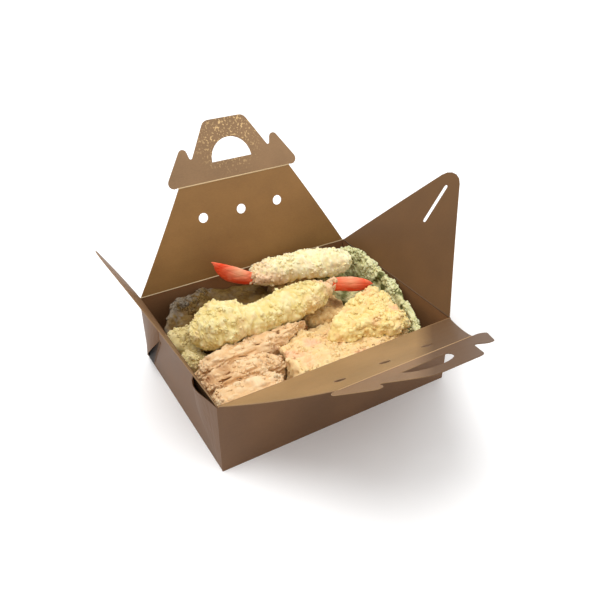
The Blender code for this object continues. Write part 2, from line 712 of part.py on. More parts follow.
def fritter_lower(finish):
    """Lower fritter: craggy where it shows, level where the upper one lies."""
    outline = [(-36, -72), (-10, -72), (20, -72), (50, -72), (66, -71), (72, -50), (76, -25),
               (78, -13), (60, -12), (40, -12), (20, -12), (3, -12.5), (-12, -21), (-28, -30),
               (-32, -50)]

    def crown(x, y):
        return 54.5 - 0.12 * np.clip(x, 0, None)
    grid = mound(outline, FLOOR_TOP, crown, 10, 42)
    grid = swell(grid, crags(grid, 31, 1.9) * (grid[..., 2] > 20))
    planes = [LEAF_SIDE + (LEAF_EDGE,), (0, 1, 0, -12.0), STICK_SIDE + (STICK_EDGE,),
              other_side(FLAKY_SIDE, FLAKY_EDGE), STEP_SIDE + (STEP_EDGE,)]
    grid = cut(grid, tray_planes() + planes)
    under = (grid[..., 0] > -1) & (grid[..., 1] > -66)
    grid[under] = cut(grid[under], [UNDER_FRITTER + (BED,)])
    grid_body("fritter_lower", grid, finish)


def fritter_upper(finish):
    """Upper fritter: a craggy disc on the slanting bed of the lower one."""
    outline = [(9, -37), (17, -29), (28, -22), (44, -17), (56, -11.5), (66, -10), (71, -14),
               (73, -26), (73, -40), (70, -56), (60, -61), (36, -54), (16, -45)]

    def crown(x, y):
        return 62.5 + 0.10 * (y + 30) - 0.0035 * (x - 48) ** 2
    grid = mound(outline, 42.0, crown, 9, 36, 7.0)
    grid = swell(grid, crags(grid, 32, 1.9))
    planes = [other_side(UNDER_FRITTER, BED), LEAF_SIDE + (LEAF_EDGE,), (0, 1, 0, -9.0),
              (0, -1, 0, WALL_Y)]
    grid_body("fritter_upper", cut(grid, planes), finish)


def build():
    """The whole box and its food."""
    clear_scene()
    kraft = material("kraft_board", KRAFT, 0.6)
    tray(kraft)
    board_panels(kraft)
    food()


build()
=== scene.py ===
"""Looks of an open kraft carry box of tempura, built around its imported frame.

The board panels keep their CAD meshes and get kraft materials. Every piece of
food is a finer surface over the same form as its solid: a roll along a path or
a mound over an outline, with batter relief worked out as whole numpy arrays.
Lengths in this file are millimetres until a mesh is made.
"""

import math

import bpy
import numpy as np
from mathutils import Matrix, Vector


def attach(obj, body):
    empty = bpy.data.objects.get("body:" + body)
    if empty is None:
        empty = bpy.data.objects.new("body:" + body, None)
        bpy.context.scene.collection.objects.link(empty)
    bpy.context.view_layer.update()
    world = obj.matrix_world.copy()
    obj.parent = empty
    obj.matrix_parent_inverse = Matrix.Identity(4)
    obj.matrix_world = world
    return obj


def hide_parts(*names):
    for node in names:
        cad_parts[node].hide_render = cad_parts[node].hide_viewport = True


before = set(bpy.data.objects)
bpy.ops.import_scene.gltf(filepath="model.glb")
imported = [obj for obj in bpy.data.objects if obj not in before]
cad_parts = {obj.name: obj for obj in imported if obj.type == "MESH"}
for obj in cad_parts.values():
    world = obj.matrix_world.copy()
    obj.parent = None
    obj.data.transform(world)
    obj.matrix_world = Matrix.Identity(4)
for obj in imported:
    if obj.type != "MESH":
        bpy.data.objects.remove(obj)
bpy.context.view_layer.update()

MM = 0.001

# ------------------------------------------------------------- sizes of the box
TRAY_LENGTH = 190.0
TRAY_WIDTH = 143.7
RIM = 57.6                        # height of the creases between walls and flaps
BOARD = 0.5
FLAP_DEPTH = 77.0
RIDGE_HALF = 48.5                 # half the crease between long flap and handle
BACK_ANGLE = 78.0                 # flaps above the outward horizontal, in degrees
FRONT_ANGLE = 33.0
LEFT_ANGLE = 65.0
RIGHT_ANGLE = 54.4
BACK_HANDLE_ANGLE = 67.0
FRONT_HANDLE_ANGLE = 33.0
GRIP_RISE = 34.0                  # middle of the grip hole above the handle's crease
PAINTED_GLINT_REACH = 34.0                 # how far round the grip the painted glints lie
PAINTED_SHADOW_NORMAL = (0.792, -0.510, 0.331)      # painted shadow: the front panels are darker past this plane,
PAINTED_SHADOW_POINT = (67.4, -71.5, 57.4)          # which runs through this point of the rim
CREASE_RADIUS = 0.5
CREASE_INSET = 0.6                # a crease's bead ends this far inside the corner

# ------------------------------------------------------------- sizes of the food
GAP = 0.35
FLOOR_TOP = BOARD + GAP
WALL_X = TRAY_LENGTH / 2 - BOARD - GAP
WALL_Y = TRAY_WIDTH / 2 - BOARD - GAP
PRAWN_REST = 46.0
REAR_REST = 47.0
TAIL_ROOT = 2.0                   # length of a tail inside the batter
KNOB_PLACE = (-58, 15, 66)        # the swelling of batter on the front prawn's head
KNOB_REACH = 11.0
KNOB_HEIGHT = 5.0
CRAG_SIZE = 9.0                   # spacing of the large lumps of batter
CRAG_HEIGHT = 1.6
BURIED = 20.0                     # below this the slices and the fritter stay smooth

# Patterns of the materials, in repeats to the metre.
CRUST_SPECKS = 900.0              # browned specks about 1.1 mm apart
CRUST_BLOTCHES = 110.0            # patches of the second colour, about 9 mm across
BOARD_CLOUDS = 24.0               # uneven pulp, about 42 mm across
BOARD_FIBRES = (500.0, 900.0, 1100.0)      # fibres 1 to 2 mm long, coarse enough to show
PAINTED_GLINT_FLECKS = 620.0            # painted glints: pale gold flecks about 1.6 mm apart

# View: place of the camera in metres, its turn to the right of +Y and down in degrees.
CAMERA_PLACE = (-0.20543, -0.35951, 0.33836)
CAMERA_YAW = 30.619
CAMERA_PITCH = 33.455
CAMERA_LENS = 39.451
CAMERA_SENSOR = 36.0

# Light: where the sun stands, how wide it looks in degrees, and how strong it and the sky are.
SUN_FROM = (-0.22, 0.05, 1.0)
SUN_WIDTH = 34.0
SUN_POWER = 1.4
SKY_POWER = 1.0
FLOOR_HALF = 12.0                 # half the floor's width, in metres

# Shared planes between neighbours, as normal and distance.
UNDER_FRITTER, BED = (0.0, 0.17, 1.0), 39.8
LEAF_SIDE, LEAF_EDGE = (1.0, -0.2535, 0.0), 82.0
LUMP_SIDE, LUMP_EDGE = (-0.35, 0.75, -0.55), 8.0
STICK_SIDE, STICK_EDGE = (0.0, 0.8, 0.6), 21.2
SLICE_SIDE, SLICE_EDGE = (0.6, 0.0, 0.8), -10.6
FLAKY_SIDE, FLAKY_EDGE = (0.976, -0.22, 0.0), -19.5
SHUT_FLAP = (0.9686, 0.0, 0.2487, 105.2)   # the right flap where its joint stops
STEP_SIDE, STEP_EDGE = (-0.496, 0.868, 0.0), -13.3


# ------------------------------------------------------------------ the camera
def add_camera():
    """Camera at its place: forward is +Y turned right by the yaw and down by the pitch."""
    yaw, pitch = math.radians(CAMERA_YAW), math.radians(CAMERA_PITCH)
    forward = np.array([math.sin(yaw) * math.cos(pitch), math.cos(yaw) * math.cos(pitch),
                        -math.sin(pitch)])
    right = np.array([math.cos(yaw), -math.sin(yaw), 0.0])
    up = np.cross(right, forward)
    turn = Matrix.Identity(4)
    for row in range(3):
        turn[row][0], turn[row][1], turn[row][2] = right[row], up[row], -forward[row]
        turn[row][3] = CAMERA_PLACE[row]
    data = bpy.data.cameras.new("camera")
    data.sensor_width = CAMERA_SENSOR
    data.lens = CAMERA_LENS
    data.clip_start = 0.01
    camera = bpy.data.objects.new("camera", data)
    bpy.context.collection.objects.link(camera)
    camera.matrix_world = turn
    bpy.context.scene.camera = camera


# ---------------------------------------------------------------- noise fields
def lumps(points, size, seed):
    """Smooth value noise from -1 to 1.

    A random value stands every size mm, and t * t * (3 - 2 t) blends neighbours.
    """
    table = np.random.default_rng(seed).uniform(-1, 1, (16, 16, 16))
    q = np.asarray(points) / size + 160.0
    whole = np.floor(q).astype(int)
    part = q - whole
    part = part * part * (3 - 2 * part)
    total = 0.0
    for corner in np.ndindex(2, 2, 2):
        weight = 1.0
        for axis in range(3):
            weight = weight * (part[..., axis] if corner[axis] else 1 - part[..., axis])
        index = [(whole[..., axis] + corner[axis]) % 16 for axis in range(3)]
        total = total + weight * table[index[0], index[1], index[2]]
    return total


def beads(points, size, seed, least=0.2, most=0.62):
    """Height in mm of round beads: sqrt(radius^2 - distance^2) over scattered centres.

    There is one centre to each cube of size mm, with a radius of least to most of it.
    """
    draw = np.random.default_rng(seed)
    shifts = draw.uniform(-0.45, 0.45, (16, 16, 16, 3))
    radii = draw.uniform(least, most, (16, 16, 16))
    q = np.asarray(points) / size + 160.0
    whole = np.floor(q).astype(int)
    height = np.zeros(q.shape[:-1])
    for step in np.ndindex(3, 3, 3):
        cell = whole + np.array(step) - 1
        index = tuple(np.moveaxis(cell % 16, -1, 0))
        away = ((q - cell - 0.5 - shifts[index]) ** 2).sum(axis=-1)
        height = np.maximum(height, radii[index] ** 2 - away)
    return size * np.sqrt(height)


def warped(points, size, reach, seed):
    """Points moved by three noise fields, so that patterns on them look irregular."""
    moves = [lumps(points, size, seed + k) for k in range(3)]
    return points + reach * np.stack(moves, axis=-1)


def crags(points, seed, height=CRAG_HEIGHT, stretch=(1, 1, 1)):
    """The solid's own relief: lumps of two sizes, the smaller ones 0.6 as high.

    stretch lengthens the lumps along x, y and z.
    """
    q = np.asarray(points) / np.array(stretch, float)
    return height * (lumps(q, CRAG_SIZE, seed) + 0.6 * lumps(q, CRAG_SIZE / 2, seed + 1))


def batter_relief(points, seed, height=1.0, frill=0.5, slits=0.6):
    """Fine relief in mm and its tone from 0 in the pits to 1 on the knobs.

    Rounded swellings are the absolute values of noises 6 and 3.6 mm across, so
    they meet in creases where a noise passes through zero, with a few beads
    among them. Crumbs of 2.8 and 1.7 mm lie where a slow noise plus frill is
    above zero. Short slits, slits mm deep, lie where another noise is near zero.
    The tone rises with the sum and falls in the slits, so its dark pits are
    partly painted shade in the hollows.
    """
    q = warped(points, 7.0, 2.4, seed)
    soft = 1.8 * np.abs(lumps(q, 6.0, seed + 10)) + 1.3 * np.abs(lumps(q, 3.6, seed + 11))
    soft += 0.4 * beads(warped(points, 4.0, 1.4, seed + 9), 4.6, seed + 8, 0.2, 0.6)
    rough = np.clip(0.5 + 1.4 * lumps(points, 13.0, seed + 12) + (frill - 0.5) * 2, 0, 1)
    fine = warped(points, 2.6, 1.0, seed + 13)
    crumb = 0.5 * beads(fine, 2.8, seed + 14) + 0.45 * np.abs(lumps(fine, 1.7, seed + 15))
    grain = 0.08 * lumps(points, 1.0, seed + 16)
    line = lumps(warped(points, 3.0, 1.0, seed + 17), 4.4, seed + 18)
    sparse = np.clip(3.0 * lumps(points, 3.6, seed + 19) - 0.7, 0, 1)
    crease = np.exp(-(line / 0.085) ** 2) * sparse
    total = soft + rough * crumb + grain
    total -= total.mean()
    tone = 0.62 + 0.12 * total / total.std() - slits * crease
    return height * (total - slits * crease), np.clip(tone, 0, 1)


def stains(points, places, seed):
    """Share 0 to 1 of a second colour round (x, y, z, radius, strength) places."""
    share = np.zeros(np.shape(points)[:-1])
    ragged = 1 + 0.45 * lumps(points, 4.0, seed) + 0.25 * lumps(points, 1.8, seed + 1)
    for x, y, z, radius, strength in places:
        away = np.linalg.norm(points - np.array([x, y, z]), axis=-1) / (radius * ragged)
        share = np.maximum(share, strength * np.clip(1.5 - away, 0, 1))
    return share


# ------------------------------------------------------------------ food forms
def cut(points, planes):
    """Push points beyond a plane a x + b y + c z = d back onto it."""
    for _ in range(2):
        for a, b, c, d in planes:
            normal = np.array([a, b, c], float)
            length = np.linalg.norm(normal)
            beyond = np.maximum(0.0, (points @ normal - d) / length)
            points = points - beyond[..., None] * normal / length
    return points


def other_side(plane, edge):
    """The half space across a shared plane, GAP away from it."""
    return tuple(-v for v in plane) + (-(edge + GAP),)


def tray_planes(margin=0.0):
    """The inside of the tray as cutting planes."""
    return [(1, 0, 0, WALL_X - margin), (-1, 0, 0, WALL_X - margin),
            (0, 1, 0, WALL_Y - margin), (0, -1, 0, WALL_Y - margin), (0, 0, -1, -FLOOR_TOP)]


def curve_through(knots, at):
    """Catmull-Rom curve through evenly numbered knots, at values 0 to 1."""
    knots = np.asarray(knots, float)
    padded = np.vstack([2 * knots[0] - knots[1], knots, 2 * knots[-1] - knots[-2]])
    s = np.clip(at, 0, 1) * (len(knots) - 1)
    k = np.minimum(s.astype(int), len(knots) - 2)
    t = (s - k)[:, None]
    p0, p1, p2, p3 = (padded[k + j] for j in range(4))
    return 0.5 * (2 * p1 + (p2 - p0) * t + (2 * p0 - 5 * p1 + 4 * p2 - p3) * t ** 2
                  + (3 * p1 - p0 - 3 * p2 + p3) * t ** 3)


def roll(knots, rings, sides, square=1.0, blunt=0.5):
    """Closed body along a path of (x, y, z, half width, half height) knots.

    A point is path(u) + width(u) |cos v|^square across + height(u) |sin v|^square
    up, and the ends close by the factor sqrt(1 - |2u - 1|^(2 / blunt)).
    """
    phase = np.linspace(-np.pi / 2, np.pi / 2, rings)
    at = 0.6 * (np.sin(phase) + 1) / 2 + 0.4 * np.linspace(0, 1, rings)
    shape = curve_through(knots, at)
    taper = np.clip(1 - np.abs(2 * at - 1) ** (2 / blunt), 0, 1) ** 0.5
    tangent = np.gradient(shape[:, :3], axis=0)
    tangent /= np.linalg.norm(tangent, axis=1)[:, None]
    side = np.cross(tangent, [0, 0, 1.0])
    side /= np.linalg.norm(side, axis=1)[:, None]
    upright = np.cross(side, tangent)
    angle = np.linspace(0, 2 * np.pi, sides, endpoint=False)
    c = np.sign(np.cos(angle)) * np.abs(np.cos(angle)) ** square
    s = np.sign(np.sin(angle)) * np.abs(np.sin(angle)) ** square
    wide = (shape[:, 3] * taper)[:, None, None] * side[:, None, :] * c[None, :, None]
    tall = (shape[:, 4] * taper)[:, None, None] * upright[:, None, :] * s[None, :, None]
    return shape[:, None, :3] + wide + tall


def mound(outline, base, crown, rings, sides, edge=6.0, coarse=30):
    """Closed body over a plan outline, from a level base up to crown(x, y).

    A point is centre + share(u) (outline(v) - centre); its height is the crown's,
    less a quarter-circle drop within edge of the rim.
    """
    corners = np.asarray(outline, float)
    centre = corners.mean(axis=0)
    wrapped = np.vstack([corners, corners[:1]])
    s = np.linspace(0, 1, coarse, endpoint=False) * len(corners)
    k = s.astype(int)
    t = (s - k)[:, None]
    loop = wrapped[k] * (1 - t) + wrapped[k + 1] * t
    for _ in range(2):
        loop = (np.roll(loop, 1, axis=0) + 2 * loop + np.roll(loop, -1, axis=0)) / 4
    closed = np.vstack([loop[-1:], loop, loop[:2]])
    fine = (1 + np.linspace(0, coarse, sides, endpoint=False)) / (coarse + 2)
    loop = curve_through(closed, fine)
    reach = np.linalg.norm(loop - centre, axis=1)
    # Rings as (share of the way out, share of the height): base, side and crown.
    lower = [(0.6, 0.0), (0.93, 0.0), (1.0, 0.08), (1.0, 0.3), (1.0, 0.5), (1.0, 0.65)]
    upright = [(1.0, rise) for rise in np.linspace(0.72, 0.97, 10)]
    inward = [(1 - q, 1.0) for q in np.linspace(0, 1, rings)[:-1]]
    layers = []
    for share, rise in lower + upright + inward:
        xy = centre + (loop - centre) * share
        top = crown(xy[:, 0], xy[:, 1])
        inset = np.clip((1 - share) * reach / edge, 0, 1)
        drop = edge * (1 - np.sqrt(1 - (1 - inset) ** 2))
        z = base + (top - drop - base) * rise
        layers.append(np.stack([xy[:, 0], xy[:, 1], z], axis=-1))
    first = np.broadcast_to([centre[0], centre[1], base], layers[0].shape)
    peak = crown(centre[:1], centre[1:])[0]
    last = np.broadcast_to([centre[0], centre[1], peak], layers[0].shape)
    return np.stack([first] + layers + [last])


def surface_normals(grid):
    """Unit normals of a closed grid, from its two central differences."""
    along = np.gradient(grid, axis=0)
    around = (np.roll(grid, -1, axis=1) - np.roll(grid, 1, axis=1)) / 2
    normal = np.cross(around, along)
    normal = normal / np.maximum(np.linalg.norm(normal, axis=-1, keepdims=True), 1e-9)
    outward = np.sum(normal * (grid - grid.reshape(-1, 3).mean(axis=0)))
    return normal if outward > 0 else -normal


def close_ends(grid):
    """The grid with each of its two end rings drawn together at its mean point."""
    grid[0], grid[-1] = grid[0].mean(axis=0), grid[-1].mean(axis=0)
    return grid


def swell(grid, amount):
    """Move each point of a closed grid along its surface normal by amount mm."""
    return close_ends(grid + surface_normals(grid) * amount[..., None])


# ---------------------------------------------------------------------- meshes
def grid_faces(rings, sides):
    """Quads between the rings of a closed grid and triangles to its two poles."""
    k = np.arange(sides)
    after = (k + 1) % sides
    start = 1 + np.arange(rings - 3)[:, None] * sides
    quads = np.stack([start + k, start + after, start + sides + after, start + sides + k], axis=-1)
    last = 1 + (rings - 2) * sides
    end = last - sides
    caps = np.vstack([np.stack([0 * k, 1 + after, 1 + k], axis=-1),
                      np.stack([last + 0 * k, end + k, end + after], axis=-1)])
    return caps.tolist() + quads.reshape(-1, 4).tolist()


def mesh_piece(name, points, faces, body, finish, marks):
    """Smooth mesh object from points in mm; marks are named values for its points."""
    mesh = bpy.data.meshes.new(name)
    mesh.from_pydata((np.asarray(points) * MM).tolist(), [], faces)
    mesh.polygons.foreach_set("use_smooth", np.ones(len(mesh.polygons), bool))
    for key, values in marks.items():
        attribute = mesh.attributes.new(key, "FLOAT", "POINT")
        attribute.data.foreach_set("value", np.asarray(values, np.float32).ravel())
    mesh.materials.append(finish)
    made = bpy.data.objects.new(name, mesh)
    bpy.context.collection.objects.link(made)
    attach(made, body)
    return made


def flatten_poles(values):
    """A grid's values with one value for each of its two poles."""
    return np.concatenate([values[:1, 0], values[1:-1].reshape(-1, *values.shape[2:]),
                           values[-1:, 0]])


def face_outwards(grid, faces):
    """The faces, reversed where the grid runs the other way round."""
    points = flatten_poles(grid) - grid.reshape(-1, 3).mean(axis=0)
    corners = points[np.array([face[:3] for face in faces])]
    volume = np.sum(np.cross(corners[:, 0], corners[:, 1]) * corners[:, 2])
    return faces if volume > 0 else [face[::-1] for face in faces]


def grid_piece(name, grid, body, finish, marks=None):
    """Piece from a closed grid, and marks for its points on the same grid."""
    faces = face_outwards(grid, grid_faces(*grid.shape[:2]))
    flat = {key: flatten_poles(values) for key, values in (marks or {}).items()}
    return mesh_piece(name, flatten_poles(grid), faces, body, finish, flat)


def food_piece(solid, grid, finish, tone, stain):
    """Piece of food that stands for the solid of that name."""
    made = grid_piece("look_" + solid, grid, "tray", finish, {"crag": tone, "stain": stain})
    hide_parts(solid)


# ------------------------------------------------------------------- materials
def srgb(text):
    """Linear colour from an sRGB hex value."""
    parts = np.array([int(text[k:k + 2], 16) for k in (0, 2, 4)]) / 255
    linear = np.where(parts <= 0.04045, parts / 12.92, ((parts + 0.055) / 1.055) ** 2.4)
    return (*linear.tolist(), 1.0)


def node(tree, kind, inputs=None, stops=None, **settings):
    """Add a node: settings are its properties, inputs are values or sockets to link."""
    made = tree.nodes.new(kind)
    for key, value in settings.items():
        setattr(made, key, value)
    if stops:
        ramp = made.color_ramp.elements
        while len(ramp) < len(stops):
            ramp.new(0.5)
        for element, (place, colour) in zip(ramp, stops):
            element.position = place
            element.color = colour if isinstance(colour, tuple) else (colour,) * 3 + (1.0,)
    for key, value in (inputs or {}).items():
        if isinstance(value, bpy.types.NodeSocket):
            tree.links.new(value, made.inputs[key])
        else:
            made.inputs[key].default_value = value
    return made


def new_material(name):
    """Empty node material with a Principled shader: its tree, shader and coordinates."""
    made = bpy.data.materials.new(name)
    made.use_nodes = True
    tree = made.node_tree
    tree.nodes.clear()
    shader = node(tree, "ShaderNodeBsdfPrincipled")
    node(tree, "ShaderNodeOutputMaterial", {"Surface": shader.outputs["BSDF"]})
    place = node(tree, "ShaderNodeTexCoord").outputs["Object"]
    return made, tree, shader, place


def fried_batter(name, pit, middle, knob, patch, wet=0.0):
    """Deep-fried batter: dry pale crumb over deeper coloured, slightly oily pits,
    whose darker colour is partly painted shade in the hollows.

    The mesh carries the relief's tone, which picks a colour from pit to knob, and
    the stain, which is the share of the second colour, patch. wet takes roughness
    off, for skins and shells that look moist.
    """
    made, tree, shader, place = new_material(name)
    crag = node(tree, "ShaderNodeAttribute", attribute_name="crag").outputs["Fac"]
    stain = node(tree, "ShaderNodeAttribute", attribute_name="stain").outputs["Fac"]
    speck = node(tree, "ShaderNodeTexNoise", {"Vector": place, "Scale": CRUST_SPECKS,
                                              "Detail": 3.0})
    shifted = node(tree, "ShaderNodeMath", {0: speck.outputs["Fac"], 1: 0.24, 2: crag},
                   operation="MULTIPLY_ADD")
    tone = node(tree, "ShaderNodeMath", {0: shifted.outputs[0], 1: -0.12}, operation="ADD")
    # Pits take the dark end of the ramp, partly as painted shade in the hollows.
    colour = node(tree, "ShaderNodeValToRGB", {"Fac": tone.outputs[0]},
                  stops=[(0.08, srgb(pit)), (0.42, srgb(middle)), (0.85, srgb(knob))])
    blotch = node(tree, "ShaderNodeTexNoise", {"Vector": place, "Scale": CRUST_BLOTCHES,
                                               "Detail": 2.0})
    share = node(tree, "ShaderNodeMapRange", {"Value": blotch.outputs["Fac"], "From Min": 0.5,
                                              "From Max": 0.75, "To Max": 0.35})
    both = node(tree, "ShaderNodeMath", {0: share.outputs[0], 1: stain}, operation="MAXIMUM")
    mixed = node(tree, "ShaderNodeMix", {"Factor": both.outputs[0], 6: colour.outputs["Color"],
                                         7: srgb(patch)}, data_type="RGBA")
    gloss = node(tree, "ShaderNodeMapRange", {"Value": tone.outputs[0], "To Min": 0.65 - wet,
                                              "To Max": 0.85 - wet})
    bump = node(tree, "ShaderNodeBump", {"Height": speck.outputs["Fac"], "Strength": 0.3,
                                         "Distance": 0.0005})
    for socket, value in (("Base Color", mixed.outputs[2]), ("Roughness", gloss.outputs[0]),
                          ("Normal", bump.outputs[0])):
        tree.links.new(value, shader.inputs[socket])
    shader.inputs["IOR"].default_value = 1.45
    shader.inputs["Specular IOR Level"].default_value = 0.2
    shader.inputs["Subsurface Weight"].default_value = 0.25
    shader.inputs["Subsurface Radius"].default_value = (1.0, 0.8, 0.55)
    shader.inputs["Subsurface Scale"].default_value = 0.0006
    return made


def kraft_board(name, across, inner, outer, glints=None, painted_shadow=None):
    """Unbleached kraft board: dull brown faces with fibres and uneven pulp.

    across is the panel's normal on its inner side, so the two faces and the cut
    edge, which has a brown of its own, are told apart by how the surface turns.
    It is zero for the tray, whose normal varies: there a face that looks away
    from the middle is an outer one. glints are the place and reach of pale
    gold flecks on the inner face, a painted highlight for light glinting off its
    varnish. painted_shadow is the plane, as (a, b, c, d), past which the board is
    darker with a painted shadow.
    """
    made, tree, shader, place = new_material(name)
    blotch = node(tree, "ShaderNodeTexNoise", {"Vector": place, "Scale": BOARD_CLOUDS,
                                               "Detail": 3.0})
    fibre_place = node(tree, "ShaderNodeMapping", {"Vector": place, "Scale": BOARD_FIBRES})
    fibre = node(tree, "ShaderNodeTexNoise", {"Vector": fibre_place.outputs[0], "Scale": 1.0,
                                              "Detail": 5.0, "Roughness": 0.65})
    mix = node(tree, "ShaderNodeMath", {0: fibre.outputs["Fac"], 1: 0.5, 2: blotch.outputs["Fac"]},
               operation="MULTIPLY_ADD")
    shade = node(tree, "ShaderNodeMapRange", {"Value": mix.outputs[0], "From Min": 0.45,
                                              "From Max": 1.05, "To Min": 0.8, "To Max": 1.18})
    turned = node(tree, "ShaderNodeTexCoord").outputs["Normal"]
    middle = node(tree, "ShaderNodeVectorMath", {0: place, 1: (0.0, 0.0, RIM * MM / 2)},
                  operation="SUBTRACT")
    flat = any(across)
    aim = across if flat else middle.outputs[0]
    facing = node(tree, "ShaderNodeVectorMath", {0: turned, 1: aim}, operation="DOT_PRODUCT")
    side = node(tree, "ShaderNodeMath", {0: facing.outputs["Value"], 1: 0.0},
                operation="LESS_THAN" if flat else "GREATER_THAN")
    face = node(tree, "ShaderNodeMix", {"Factor": side.outputs[0], 6: srgb(inner), 7: srgb(outer)},
                data_type="RGBA")
    toned = node(tree, "ShaderNodeVectorMath", {0: face.outputs[2], "Scale": shade.outputs[0]},
                 operation="SCALE")
    colour = toned.outputs[0]
    if flat:
        size = node(tree, "ShaderNodeMath", {0: facing.outputs["Value"]}, operation="ABSOLUTE")
        edge = node(tree, "ShaderNodeMath", {0: size.outputs[0], 1: 0.6}, operation="LESS_THAN")
        colour = node(tree, "ShaderNodeMix", {"Factor": edge.outputs[0], 6: colour,
                                              7: srgb("8A6C4A")}, data_type="RGBA").outputs[2]
    # Painted highlight: pale gold flecks near the grip, on the inner face only, as glints of light
    # off the varnish.
    if glints:
        centre, reach = glints
        away = node(tree, "ShaderNodeVectorMath", {0: place, 1: centre}, operation="DISTANCE")
        near = node(tree, "ShaderNodeMapRange", {"Value": away.outputs["Value"],
                                                 "From Min": reach, "From Max": 0.4 * reach})
        fleck = node(tree, "ShaderNodeTexNoise", {"Vector": place, "Scale": PAINTED_GLINT_FLECKS,
                                                  "Detail": 2.0})
        shine = node(tree, "ShaderNodeMapRange", {"Value": fleck.outputs["Fac"], "From Min": 0.56,
                                                  "From Max": 0.66})
        inside = node(tree, "ShaderNodeMath", {0: near.outputs[0], 1: side.outputs[0]},
                      operation="SUBTRACT", use_clamp=True)
        share = node(tree, "ShaderNodeMath", {0: inside.outputs[0], 1: shine.outputs[0]},
                     operation="MULTIPLY")
        colour = node(tree, "ShaderNodeMix", {"Factor": share.outputs[0], 6: colour,
                                              7: srgb("E0BC84")}, data_type="RGBA").outputs[2]
    # Painted shadow: past the plane the board fades to a dark brown.
    if painted_shadow:
        over = node(tree, "ShaderNodeVectorMath", {0: place, 1: painted_shadow[:3]},
                    operation="DOT_PRODUCT")
        past = node(tree, "ShaderNodeMapRange", {"Value": over.outputs["Value"],
                                                 "From Min": painted_shadow[3] - 0.004,
                                                 "From Max": painted_shadow[3] + 0.008, "To Max": 0.9})
        colour = node(tree, "ShaderNodeMix", {"Factor": past.outputs[0], 6: colour,
                                              7: srgb("5E4228")}, data_type="RGBA").outputs[2]
    bump = node(tree, "ShaderNodeBump", {"Height": fibre.outputs["Fac"], "Strength": 0.15,
                                         "Distance": 0.0003})
    gloss = node(tree, "ShaderNodeMapRange", {"Value": blotch.outputs["Fac"], "To Min": 0.45,
                                              "To Max": 0.62})
    for socket, value in (("Base Color", colour), ("Normal", bump.outputs[0]),
                          ("Roughness", gloss.outputs[0])):
        tree.links.new(value, shader.inputs[socket])
    shader.inputs["Specular IOR Level"].default_value = 0.35
    return made


# -------------------------------------------------------------------- the board
def leaning(outwards, angle):
    """Unit vector raised by angle degrees from a level direction."""
    tilt = math.radians(angle)
    return np.array(outwards, float) * math.cos(tilt) + np.array([0, 0, math.sin(tilt)])


def dress_board():
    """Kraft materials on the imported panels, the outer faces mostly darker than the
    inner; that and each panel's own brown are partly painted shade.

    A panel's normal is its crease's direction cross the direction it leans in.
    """
    back, front = (0, 1, 0), (0, -1, 0)
    grip = (np.array([0, TRAY_WIDTH / 2, RIM]) + leaning(back, BACK_ANGLE) * FLAP_DEPTH
            + leaning(back, BACK_HANDLE_ANGLE) * GRIP_RISE) * MM
    glints = (tuple(grip), PAINTED_GLINT_REACH * MM)
    # The plane of the painted shadow on the front flap and front handle.
    painted_shadow = PAINTED_SHADOW_NORMAL + (float(np.dot(PAINTED_SHADOW_NORMAL, PAINTED_SHADOW_POINT)) * MM,)
    # Panel, direction of its crease, direction and angle it leans in, inner and outer brown,
    # painted glints and painted shadow plane. The browns are partly painted shade: the right
    # flap's dark inner face and the darker outer faces stand in for shade.
    rows = [("back_flap", (1, 0, 0), back, BACK_ANGLE, "926B3C", "745436", None, None),
            ("back_handle", (1, 0, 0), back, BACK_HANDLE_ANGLE, "957553", "745436", glints, None),
            ("front_flap", (-1, 0, 0), front, FRONT_ANGLE, "9A784E", "6A4C30", None, painted_shadow),
            ("front_handle", (-1, 0, 0), front, FRONT_HANDLE_ANGLE, "88684A", "6A4C30", None,
             painted_shadow),
            ("left_flap", (0, 1, 0), (-1, 0, 0), LEFT_ANGLE, "826040", "6E5034", None, None),
            ("right_flap", (0, -1, 0), (1, 0, 0), RIGHT_ANGLE, "664623", "6E5034", None, None)]
    for panel, along, away, angle, inner, outer, glints, shadow_plane in rows:
        normal = tuple(np.cross(along, leaning(away, angle)).tolist())
        finish = kraft_board("kraft_" + panel, normal, inner, outer, glints, shadow_plane)
        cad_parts[panel].material_slots[0].material = finish
    # The tray's darker outer brown is partly painted shade as well.
    finish = kraft_board("kraft_tray", (0.0, 0.0, 0.0), "8A6240", "68492E")
    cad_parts["tray"].material_slots[0].material = finish


def bar(start, end, radius, sides=10):
    """Closed round bar: circles about both ends of a straight line, and its two poles.

    A circle's point is centre + radius (cos v side + sin v upright).
    """
    line = np.array([start, end], float)
    tangent = line[1] - line[0]
    tangent /= np.linalg.norm(tangent)
    side = np.cross(tangent, [0, 0, 1.0])
    side /= np.linalg.norm(side)
    upright = np.cross(side, tangent)
    turn = np.linspace(0, 2 * np.pi, sides, endpoint=False)[:, None]
    ring = radius * (np.cos(turn) * side + np.sin(turn) * upright)
    return np.stack([line[0] + 0 * ring, line[0] + ring, line[1] + ring, line[1] + 0 * ring])


